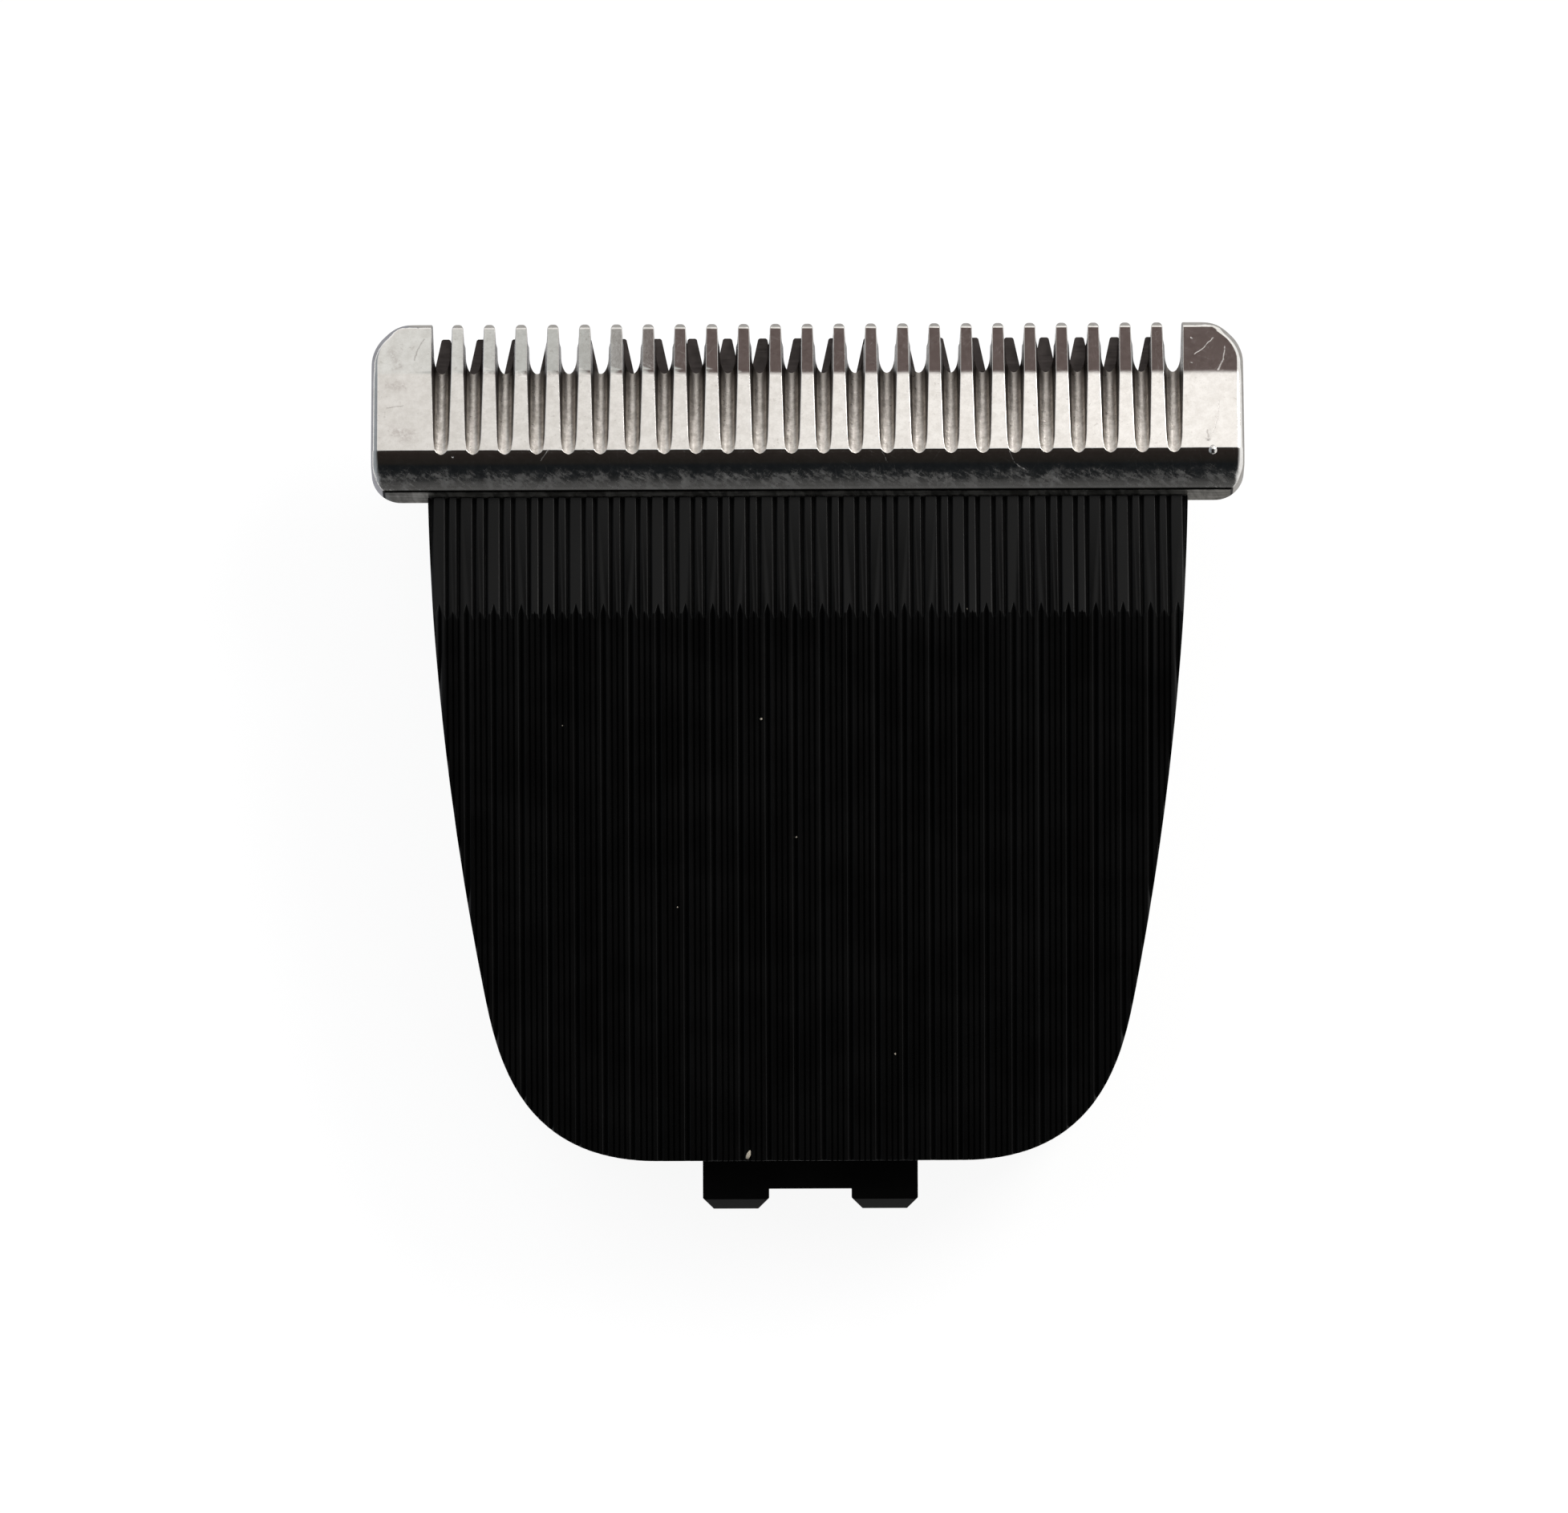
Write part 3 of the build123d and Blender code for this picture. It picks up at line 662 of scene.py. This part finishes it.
def polished_steel():
    """Polished steel: mottled, lightly scratched, scuffed low on its bevel, with a rough rear lip whose dark
    colour is a painted reflection, and painted shade in the notch of its seam.
    """
    material, tree, surface = new_material("polished_steel")
    place = tree.blade_place()
    across, along, up = tree.parts(place)
    plan = tree.add("CombineXYZ", {0: across, 1: along}).outputs[0]
    mottle = tree.noise(place, 2.2, 6.0, 0.7)
    speckle = tree.noise(place, 7.0, 4.0, 0.65)
    pits = tree.span(tree.noise(place, 4.0, 3.0, 0.6), 0.62, 0.72)
    hairs = tree.strongest([
        tree.span(tree.noise(tree.turned(plan, turn, (0.9, 22.0, 1.0)), 1.0, 2.0), 0.64, 0.7)
        for turn in (0.5, -0.9, 1.4)
    ])
    uneven = tree.ragged(plan, 4.0, 0.12)
    scratches = tree.strokes(uneven, SCRATCHES)
    dark_scratches_and_nick_shade = tree.strokes(uneven, DARK_SCRATCHES_AND_NICK_SHADE)
    nicks = tree.strokes(uneven, NICKS)
    # Painted shade: the seam's notch is painted near black
    seam_painted_shade = tree.times(tree.span(along, 0.19, 0.22), tree.span(along, 0.31, 0.27))
    stains = tree.times(tree.strokes(tree.ragged(plan, 2.0, 0.8), STAINS), tree.span(speckle, 0.35, 0.6))
    rubbed = tree.noise(tree.turned(plan, 0.45, (2.0, 7.0, 1.0)), 1.0, 6.0, 0.7)
    rubbed = tree.plus(tree.times(rubbed, 0.5), tree.times(tree.noise(plan, 1.1, 5.0, 0.65), 0.5))
    edge = tree.plus(along, tree.times(tree.noise(plan, 1.6, 4.0, 0.7), 0.9))
    low = tree.span(edge, 1.75, 1.2)
    scuffed = tree.times(low, tree.span(rubbed, 0.42, 0.58, 0.2, 1.0))
    rear = tree.times(tree.span(along, 0.3, 0.26), tree.span(up, 1.12, 1.06))
    grained = tree.noise(tree.stretched(place, (0.5, 16.0, 16.0)), 1.0, 4.0, 0.6)
    tone = tree.blend(tree.span(mottle, 0.3, 0.7), (0.775, 0.755, 0.725, 1), (0.90, 0.885, 0.86, 1))
    tone = tree.blend(tree.times(pits, 0.3), tone, (0.48, 0.44, 0.41, 1))
    tone = tree.blend(tree.times(stains, 0.55), tone, (0.48, 0.43, 0.41, 1))
    # Dark scratches, and painted shade beside the nick at the crest
    tone = tree.blend(tree.times(dark_scratches_and_nick_shade, 0.6), tone, (0.36, 0.33, 0.31, 1))
    # Rear lip: its ground grain and roughness are real, but its dark colour is a painted reflection of the
    # dark surroundings it faces
    lip_painted_reflection = tree.blend(tree.span(grained, 0.35, 0.65), (0.19, 0.185, 0.17, 1), (0.36, 0.35, 0.325, 1))
    tone = tree.blend(rear, tone, lip_painted_reflection)
    # Painted shade along the seam's notch
    tone = tree.blend(seam_painted_shade, tone, (0.02, 0.019, 0.018, 1))
    surface.inputs["Metallic"].default_value = 1.0
    tree.feed(surface.inputs["Base Color"], tone)
    rough = tree.span(speckle, 0.3, 0.8, 0.05, 0.13)
    for mark, strength in ((scuffed, 0.3), (scratches, 0.28), (hairs, 0.1), (rear, 0.3)):
        rough = tree.plus(rough, tree.times(mark, strength))
    tree.feed(surface.inputs["Roughness"], rough)
    height = tree.plus(tree.times(mottle, 0.7), tree.times(speckle, 0.3))
    normal = tree.bump(height, 0.006 * MM, 0.5)
    cuts = tree.plus(tree.times(scratches, -0.12), tree.times(nicks, -0.6))
    tree.feed(surface.inputs["Normal"], tree.bump(cuts, 0.03 * MM, 0.7, normal))
    return material


def ground_steel():
    """Ground slots between the teeth: duller steel with wheel marks, with painted shade on the flanks and at
    the roots.
    """
    material, tree, surface = new_material("ground_steel")
    place = tree.blade_place()
    across, along, up = tree.parts(place)
    marks = tree.noise(tree.stretched(place, (3.0, 7.0, 7.0)), 1.0, 5.0, 0.7)
    stain = tree.noise(place, 3.0, 6.0, 0.75)
    facing = tree.parts(tree.add("TexCoord").outputs["Normal"])
    # Painted shade: flanks darkened by which way they face
    flank_painted_shade = tree.span(tree.math("ABSOLUTE", facing[0]), 0.72, 0.94)
    # Painted shade towards the slot roots, broken up by the stain noise
    root_painted_shade = tree.times(tree.span(along, 4.7, 6.2), tree.span(stain, 0.3, 0.65, 0.4, 1.0))
    tone = tree.blend(tree.span(stain, 0.3, 0.7), (0.58, 0.54, 0.49, 1), (0.98, 0.93, 0.88, 1))
    tone = tree.blend(tree.times(root_painted_shade, 0.6), tone, (0.15, 0.13, 0.115, 1))
    tone = tree.blend(flank_painted_shade, tone, (0.06, 0.05, 0.045, 1))
    surface.inputs["Metallic"].default_value = 1.0
    tree.feed(surface.inputs["Base Color"], tone)
    tree.feed(surface.inputs["Roughness"], tree.span(marks, 0.3, 0.7, 0.26, 0.42))
    tree.feed(surface.inputs["Normal"], tree.bump(marks, 0.03 * MM, 0.8))
    return material


def dark_steel():
    """Dark ground cutter with fine marks along its stroke."""
    material, tree, surface = new_material("dark_steel")
    place = tree.millimetres()
    marks = tree.noise(tree.stretched(place, (0.6, 14.0, 14.0)), 1.0, 4.0, 0.6)
    stain = tree.noise(place, 1.6, 3.0)
    surface.inputs["Metallic"].default_value = 1.0
    tone = tree.blend(stain, (0.030, 0.026, 0.025, 1), (0.095, 0.083, 0.08, 1))
    tree.feed(surface.inputs["Base Color"], tone)
    tree.feed(surface.inputs["Roughness"], tree.span(marks, 0.3, 0.7, 0.3, 0.46))
    tree.feed(surface.inputs["Normal"], tree.bump(marks, 0.006 * MM, 0.5))
    return material


def moulded(name, dark, light, rough, grain_scale, grain_height, gloss=0.5):
    """Moulded plastic: fine even grain with a little change of tone and gloss."""
    material, tree, surface = new_material(name)
    surface.inputs["Specular IOR Level"].default_value = gloss
    place = tree.millimetres()
    grain = tree.noise(place, grain_scale, 3.0, 0.6)
    cloud = tree.noise(place, 0.35, 3.0)
    tree.feed(surface.inputs["Base Color"], tree.blend(cloud, dark, light))
    tree.feed(surface.inputs["Roughness"], tree.span(cloud, 0.25, 0.75, rough - 0.04, rough + 0.05))
    tree.feed(surface.inputs["Normal"], tree.bump(grain, grain_height, 0.4))
    return material


def drawn_wire():
    """Spring wire with fine lines along its length."""
    material, tree, surface = new_material("spring_wire")
    place = tree.millimetres()
    lines = tree.noise(tree.stretched(place, (9.0, 0.5, 9.0)), 1.0, 4.0, 0.6)
    surface.inputs["Metallic"].default_value = 1.0
    tree.feed(surface.inputs["Base Color"], tree.blend(lines, shade(0.50), shade(0.66)))
    tree.feed(surface.inputs["Roughness"], tree.span(lines, 0.3, 0.7, 0.2, 0.34))
    tree.feed(surface.inputs["Normal"], tree.bump(lines, 0.004 * MM, 0.4))
    return material


def plated_steel():
    """Zinc-plated screws with a little haze."""
    material, tree, surface = new_material("screw_steel")
    place = tree.millimetres()
    haze = tree.noise(place, 2.5, 4.0, 0.6)
    surface.inputs["Metallic"].default_value = 1.0
    tree.feed(surface.inputs["Base Color"], tree.blend(haze, (0.54, 0.54, 0.53, 1), (0.70, 0.69, 0.66, 1)))
    tree.feed(surface.inputs["Roughness"], tree.span(haze, 0.3, 0.7, 0.22, 0.38))
    tree.feed(surface.inputs["Normal"], tree.bump(haze, 0.006 * MM, 0.4))
    return material


def groove_cutter():
    """Row of fine V bars that run along the lower face from just ahead of its crease."""
    low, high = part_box("housing")
    crease_z = high.z
    shape = bmesh.new()
    steps = int(high.x / RIB_PITCH) + 1
    lift = FINE_DEPTH / 2
    half = FINE_WIDTH / 2 * (1 + lift / FINE_DEPTH)
    end_y = low.y - 1.0 * MM
    for step in range(-steps, steps + 1):
        for offset in FINE_OFFSETS:
            x = step * RIB_PITCH + offset
            nose = shape.verts.new((x, CREASE_Y + FINE_POINT, crease_z + lift))
            sections = []
            for y in (CREASE_Y - FINE_POINT / 2, end_y):
                z = crease_z - (CREASE_Y - y) * math.tan(FACE_SLOPE)
                sections.append([
                    shape.verts.new((x - half, y, z + lift)),
                    shape.verts.new((x, y, z - FINE_DEPTH)),
                    shape.verts.new((x + half, y, z + lift)),
                ])
            front, rear = sections
            shape.faces.new(rear)
            for i in range(3):
                j = (i + 1) % 3
                shape.faces.new((front[i], front[j], rear[j], rear[i]))
                shape.faces.new((front[j], front[i], nose))
    bmesh.ops.recalc_face_normals(shape, faces=shape.faces)
    return new_piece("groove_cutter", shape, [])


def crease_housing(piece):
    """Keeps the housing's corners crisp, and its walls shaded apart from the grooves that open into them."""
    shape = bmesh.new()
    shape.from_mesh(piece.data)
    for edge in shape.edges:
        upright_sides = [abs(face.normal.z) < WALL_LEAN for face in edge.link_faces]
        beside_wall = any(upright_sides) and not all(upright_sides)
        edge.smooth = edge.calc_face_angle(0) < HOUSING_CREASE and not beside_wall
    shape.to_mesh(piece.data)
    shape.free()


def housing():
    """Black carrier with softened edges and the fine grooves of its lower face."""
    shape = welded("housing")
    weigh_edges(shape)
    plastic = moulded("black_plastic", shade(0.0009), shade(0.0016), 0.36, 16.0, 0.003 * MM, 0.2)
    piece = new_piece("housing_ribbed", shape, [plastic])
    soften(piece, 0.02 * MM)
    apply_modifiers(piece)
    cut_away(piece, groove_cutter())
    crease_housing(piece)
    shade_evenly(piece)
    stand_for(piece, "housing", "carrier")
    return piece


def surface_of(piece):
    """Finder of places on a piece's finished surface."""
    return BVHTree.FromObject(piece, bpy.context.evaluated_depsgraph_get())


def place_below(surface, pixel):
    """Point and outward direction of a surface straight below a pixel of the photograph."""
    across, along = photo_place(*pixel)
    point, normal, index, gap = surface.ray_cast(Vector((across, along, 0.1)), Vector((0, 0, -1)))
    return point, normal


def flake(shape, point, normal, length, width, chance):
    """Adds a low, uneven flake that lies on a surface."""
    turn = Matrix.Rotation(chance.uniform(1.2, 2.0), 3, "Z")
    lie = normal.to_track_quat("Z", "Y").to_matrix() @ turn
    rings = []
    for spread, height in ((0.9, -0.1), (1.0, 0.1), (0.6, 0.3)):
        ring = []
        for step in range(FLAKE_CORNERS):
            angle = step * math.tau / FLAKE_CORNERS
            reach = spread * chance.uniform(0.75, 1.1) / 2
            along = length * reach * math.cos(angle)
            across = width * reach * math.sin(angle)
            corner = Vector((along, across, width * height))
            ring.append(shape.verts.new(point + lie @ corner))
        rings.append(ring)
    for low, high in zip(rings, rings[1:]):
        for i in range(FLAKE_CORNERS):
            j = (i + 1) % FLAKE_CORNERS
            shape.faces.new((low[i], low[j], high[j], high[i]))
    shape.faces.new(rings[-1])
    shape.faces.new(list(reversed(rings[0])))


def dust(carrier):
    """Pale specks that lie on the housing."""
    chance = random.Random(5)
    surface = surface_of(carrier)
    shape = bmesh.new()
    for pixel, length, width in SPECKS:
        point, normal = place_below(surface, pixel)
        flake(shape, point, normal, length * MM, width * MM, chance)
    chaff = moulded("dust", (0.30, 0.26, 0.20, 1), (0.62, 0.57, 0.48, 1), 0.7, 20.0, 0.01 * MM, 0.2)
    piece = new_piece("dust", shape, [chaff])
    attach(piece, "carrier")


def bead(blade):
    """Drop-shaped bead at a nick in the comb's crest."""
    point, normal = place_below(surface_of(blade), BEAD)
    shape = bmesh.new()
    bmesh.ops.create_icosphere(shape, subdivisions=3, radius=BEAD_RADIUS)
    for vertex in shape.verts:
        pull = 1 + 0.25 * max(vertex.co.y, 0) / BEAD_RADIUS
        vertex.co = Vector((vertex.co.x / pull, vertex.co.y * pull, vertex.co.z * 0.6)) + point
    piece = new_piece("comb_bead", shape, [blade.data.materials[0]])
    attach(piece, "carrier")


def floor():
    """Plain white floor: bright to the eye, with the part's soft shadow kept on it, and clear from below."""
    material = bpy.data.materials.new("floor")
    material.use_nodes = True
    tree = Tree(material.node_tree)
    tree.tree.nodes.clear()
    path = tree.add("LightPath").outputs
    seen = tree.math("MAXIMUM", path["Is Camera Ray"], path["Is Glossy Ray"])
    seen = tree.math("MAXIMUM", seen, path["Is Transmission Ray"])
    lit = tree.add("BsdfDiffuse", {"Color": shade(0.85)}).outputs[0]
    faint = tree.add("BsdfDiffuse", {"Color": shade(0.16)}).outputs[0]
    glow = tree.add("Emission", {"Color": shade(1.0), "Strength": 0.91}).outputs[0]
    bright = tree.add("AddShader", {0: faint, 1: glow}).outputs[0]
    mixed = tree.add("MixShader", {0: seen, 1: lit, 2: bright}).outputs[0]
    clear = tree.add("BsdfTransparent").outputs[0]
    below = tree.add("NewGeometry").outputs["Backfacing"]
    mixed = tree.add("MixShader", {0: below, 1: mixed, 2: clear}).outputs[0]
    tree.add("OutputMaterial", {"Surface": mixed})
    shape = bmesh.new()
    bmesh.ops.create_grid(
        shape, x_segments=1, y_segments=1, size=2.0, matrix=Matrix.Translation((0, 0, -FLOOR_GAP)),
    )
    piece = new_piece("floor", shape, [material])


def ramp(tree, value, stops):
    """Colour by angle, from stops of degrees and colour."""
    node = tree.add("ValToRGB", {"Fac": value})
    elements = node.color_ramp.elements
    while len(elements) < len(stops):
        elements.new(0.5)
    for element, (angle, colour) in zip(elements, stops):
        element.position = angle / 180
        element.color = colour
    return node.outputs["Color"]


def studio():
    """Surroundings: pale beyond the teeth, dim at the sides, with a dark ceiling and a dark rear wall."""
    world = bpy.data.worlds.new("studio")
    scene.world = world
    world.use_nodes = True
    tree = Tree(world.node_tree)
    tree.tree.nodes.clear()
    direction = tree.add("TexCoord").outputs["Generated"]
    x, y, z = tree.parts(direction)
    angle = tree.times(tree.math("ARCCOSINE", z), 1 / math.pi)
    flat = tree.math("SQRT", tree.plus(tree.times(x, x), tree.times(y, y)))
    forward = tree.math("DIVIDE", y, tree.math("MAXIMUM", flat, 0.001))
    ceiling = (0, (0.026, 0.020, 0.018, 1))
    front = ramp(tree, angle, [
        ceiling,
        (18, shade(0.024, 0.1)),
        (25, shade(0.80)),
        (37, shade(0.84)),
        (43, shade(0.95, 0.02)),
        (60, shade(1.0, 0.02)),
        (90, shade(0.95)),
    ])
    left = ramp(tree, angle, [
        ceiling,
        (20, shade(0.024, 0.1)),
        (42, shade(0.25, -0.08)),
        (70, shade(0.34, -0.08)),
        (90, shade(0.4, -0.06)),
    ])
    right = ramp(tree, angle, [
        ceiling,
        (20, shade(0.024, 0.1)),
        (42, shade(0.5)),
        (56, shade(0.95)),
        (90, shade(0.95)),
    ])
    rear = ramp(tree, angle, [
        ceiling,
        (18, shade(0.014, 0.1)),
        (24, shade(0.01, -0.15)),
        (45, shade(0.012, -0.1)),
        (52, shade(0.06)),
        (68, shade(0.1)),
        (90, shade(0.13)),
    ])
    colour = tree.blend(tree.span(forward, 0.1, 0.7), right, front)
    colour = tree.blend(tree.span(x, -0.25, -0.5), colour, left)
    colour = tree.blend(tree.span(forward, -0.92, -0.6), rear, colour)
    background = tree.add("Background", {"Color": colour, "Strength": 1.0})
    tree.add("OutputWorld", {"Surface": background.outputs[0]})


def card(name, paint, corners):
    """Card that polished faces mirror, out of the camera's sight and without a shadow."""
    material = bpy.data.materials.new(name)
    material.use_nodes = True
    tree = Tree(material.node_tree)
    tree.tree.nodes.clear()
    glow = tree.add("Emission", {"Color": paint(tree), "Strength": 1.0})
    tree.add("OutputMaterial", {"Surface": glow.outputs[0]})
    shape = bmesh.new()
    shape.faces.new([shape.verts.new(Vector(corner) * MM) for corner in corners])
    piece = new_piece(name, shape, [material])
    piece.visible_camera = False
    piece.visible_diffuse = False
    piece.visible_shadow = False


def upright(left, right, distance, low, high):
    """Corners of an upright card beyond the teeth."""
    return [(left, distance, low), (right, distance, low), (right, distance, high), (left, distance, high)]


def lying(left, right, rear, front):
    """Corners of a card that lies beside the part."""
    return [(left, rear, 0.5), (right, rear, 0.5), (right, front, 0.5), (left, front, 0.5)]


def cool_grey(tree):
    """Cool grey paper with a soft grain."""
    grain = tree.noise(tree.millimetres(), 0.2, 2.0)
    return tree.blend(grain, (0.30, 0.305, 0.34, 1), (0.38, 0.385, 0.42, 1))


def warm_grey(tree):
    """Warm grey paper with a soft grain."""
    grain = tree.noise(tree.millimetres(), 0.2, 2.0)
    return tree.blend(grain, (0.38, 0.37, 0.36, 1), (0.46, 0.45, 0.44, 1))


def window_paint(tree):
    """Pale sheet that is dimmer to the left, with a greyer band across it."""
    x, y, z = tree.parts(tree.millimetres())
    light = tree.blend(tree.span(x, -24, 24), (0.80, 0.78, 0.755, 1), (1.10, 1.07, 1.04, 1))
    band = tree.blend(tree.span(x, -19.5, -13.5), (0.78, 0.78, 0.76, 1), (0.56, 0.57, 0.555, 1))
    within = tree.times(tree.span(z, 48, 38), tree.span(z, 20, 25))
    return tree.blend(within, light, band)


def flag_paint(tree):
    """Dull brown card with a soft grain, that pales towards its top and its left edge."""
    place = tree.millimetres()
    x, y, z = tree.parts(place)
    brown = tree.blend(tree.noise(place, 0.2, 2.0), (0.11, 0.085, 0.08, 1), (0.15, 0.115, 0.11, 1))
    tone = tree.blend(tree.span(x, -11.5, -6.5), (0.56, 0.57, 0.555, 1), brown)
    return tree.blend(tree.span(z, 34, 50), tone, (0.98, 0.95, 0.93, 1))


def lamp(name, place, size, power, colour):
    """Soft square lamp that faces the part."""
    light = bpy.data.lights.new(name, "AREA")
    light.size = size
    light.energy = power
    light.color = colour
    fixture = bpy.data.objects.new(name, light)
    fixture.location = place
    fixture.rotation_euler = (-Vector(place)).to_track_quat("-Z", "Y").to_euler()
    scene.collection.objects.link(fixture)
    return fixture


def camera():
    """Camera straight above, turned a little as the photograph is."""
    lens = bpy.data.cameras.new("camera")
    lens.lens = LENS
    lens.sensor_width = SENSOR
    distance = PHOTO_WIDTH * PIXEL * LENS / SENSOR
    body = bpy.data.objects.new("camera", lens)
    across, along = photo_place(PHOTO_WIDTH / 2, PHOTO_HEIGHT / 2)
    body.location = (across, along, SUBJECT_HEIGHT + distance)
    body.rotation_euler = (0, 0, -PHOTO_TURN)
    scene.collection.objects.link(body)
    scene.camera = body


dust(housing())
bead(comb())
simple_piece("cutter", "cutter_ground", "moving_blade", dark_steel(), 0.02 * MM)
simple_piece(
    "driver",
    "driver_moulded",
    "moving_blade",
    moulded("pale_plastic", (0.66, 0.64, 0.57, 1), (0.74, 0.72, 0.66, 1), 0.38, 9.0, 0.004 * MM),
    0.06 * MM,
)
simple_piece(
    "guide",
    "guide_moulded",
    "carrier",
    moulded("grey_plastic", shade(0.085), shade(0.115), 0.4, 10.0, 0.005 * MM),
    0.06 * MM,
)
simple_piece("spring", "spring_bent", "carrier", drawn_wire(), 0.05 * MM)
simple_piece("blade_screws", "screws_plated", "carrier", plated_steel(), 0.05 * MM)
floor()
studio()
card("window", window_paint, upright(-40, 40, 75, 12, 95))
card("flag", flag_paint, upright(-12, 40, 69, 22, 50))
card("left_paper", cool_grey, lying(-60, -18.5, -20, 68))
card("right_paper", warm_grey, lying(18.5, 60, -20, 68))
card("front_paper", warm_grey, lying(-18.5, 18.5, 21, 68))
lamp("key", (0.35, 0.35, 0.35), 0.25, 1.7, (1.0, 0.98, 0.95))
lamp("fill", (-0.35, 0.35, 0.35), 0.6, 1.3, (0.95, 0.97, 1.0)).visible_glossy = False
camera()
